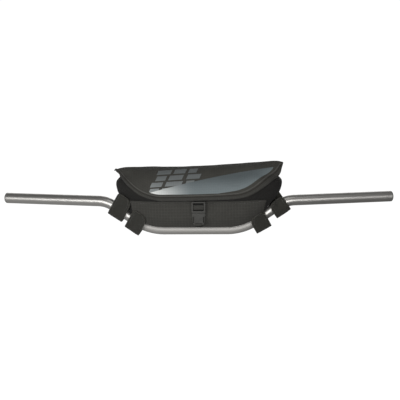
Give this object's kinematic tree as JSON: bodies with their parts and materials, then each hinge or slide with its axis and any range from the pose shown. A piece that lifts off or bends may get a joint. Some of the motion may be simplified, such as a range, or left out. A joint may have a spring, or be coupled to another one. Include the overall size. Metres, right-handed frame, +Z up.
{
  "type": "handlebar bag on a wide off-road handlebar",
  "caption": "Padded handlebar bag with a buckled flap, strapped over the middle of a wide, bent, hollow handlebar.",
  "frame": {"origin": "centre of the handlebar's middle section, where a stem's clamp holds it", "axes": "+X along the handlebar, to the right as seen from the bag's front; +Y from the bag's front to its back, toward the grips' ends; +Z up"},
  "size_m": [0.821, 0.1285, 0.1548],
  "materials": {
    "titanium_grey": "satin grey anodised",
    "plug_grey": "satin grey",
    "padded_cloth": "dark padded weave",
    "ripstop": "charcoal ripstop",
    "flap_cloth": "charcoal weave",
    "binding_tape": "ribbed tape",
    "strap_cloth": "hook and loop cloth",
    "webbing": "woven webbing",
    "plastic": "satin moulded"
  },
  "bodies": {
    "root": {"handlebar": "titanium_grey", "bar_end_plug_left": "plug_grey", "bar_end_plug_right": "plug_grey", "bag_body": "padded_cloth", "front_panel": "ripstop", "flap": "flap_cloth", "flap_binding": "binding_tape", "buckle_male": "plastic", "buckle_female": "plastic", "buckle_strap_upper": "webbing", "buckle_strap_lower": "webbing", "bar_strap_left_upper": "strap_cloth", "bar_strap_left_lower": "strap_cloth", "bar_strap_right_lower": "strap_cloth", "bar_strap_right_upper": "strap_cloth"}
  },
  "joints": []
}
